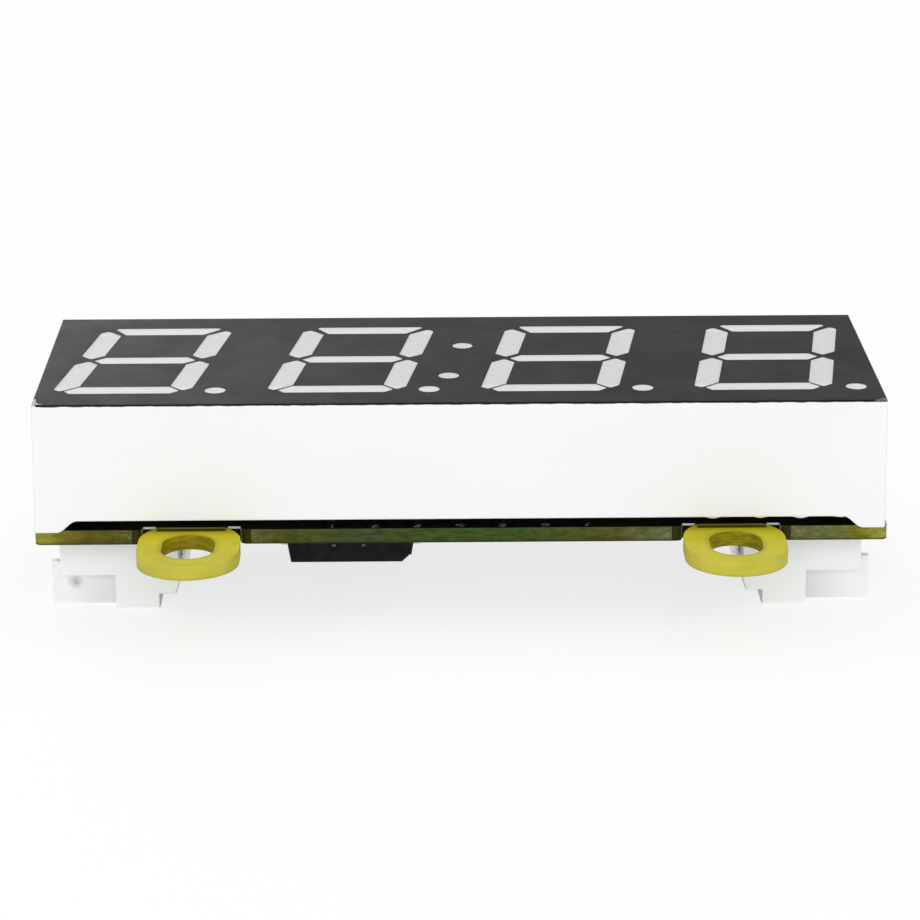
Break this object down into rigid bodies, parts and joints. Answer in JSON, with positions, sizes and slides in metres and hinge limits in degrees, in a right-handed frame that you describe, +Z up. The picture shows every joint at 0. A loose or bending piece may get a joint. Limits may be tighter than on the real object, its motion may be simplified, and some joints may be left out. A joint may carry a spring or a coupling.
{
  "type": "seven segment display module",
  "caption": "Slim seven segment clock display on a circuit board with slotted mounting ears, a driver chip beneath and a right-angle socket at each end.",
  "frame": {"origin": "on the surface that the sockets stand on, under the middle of the board", "axes": "+X to the right as the digits are read, +Y away from the reader towards the top of the digits, +Z up out of the display's face"},
  "size_m": [0.0508, 0.0308, 0.0139],
  "materials": {
    "white_shell": "white moulded plastic, satin",
    "black_face": "black printed layer, matt",
    "bar_resin": "milky diffusing resin",
    "led_board": "glass fibre laminate",
    "led_die": "gold-faced chip",
    "back_resin": "poured clear-white resin",
    "pin_metal": "tinned, satin",
    "circuit_board": "green solder mask over glass fibre laminate, bare yellow on the ears",
    "pad_metal": "tinned copper",
    "chip_plastic": "black moulded epoxy",
    "capacitor_ceramic": "tan ceramic",
    "end_cap_metal": "tinned",
    "resistor_coat": "black glass coat",
    "solder": "solder, satin",
    "socket_plastic": "natural white nylon",
    "contact_metal": "tinned brass"
  },
  "bodies": {
    "root": {"display_shell": "white_shell", "face_layer": "black_face", "digit_1": "bar_resin", "digit_2": "bar_resin", "digit_3": "bar_resin", "digit_4": "bar_resin", "decimal_points": "bar_resin", "colon_dots": "bar_resin", "led_board": "led_board", "led_dice": "led_die", "back_resin": "back_resin", "front_pins": "pin_metal", "rear_pins": "pin_metal", "circuit_board": "circuit_board", "copper_pads": "pad_metal", "driver_body": "chip_plastic", "driver_leads": "pin_metal", "capacitor_bodies": "capacitor_ceramic", "capacitor_ends": "end_cap_metal", "resistor_bodies": "resistor_coat", "resistor_ends": "end_cap_metal", "display_pin_solder": "solder", "socket_pin_solder": "solder", "left_socket": "socket_plastic", "left_contacts": "contact_metal", "right_socket": "socket_plastic", "right_contacts": "contact_metal"}
  },
  "joints": []
}
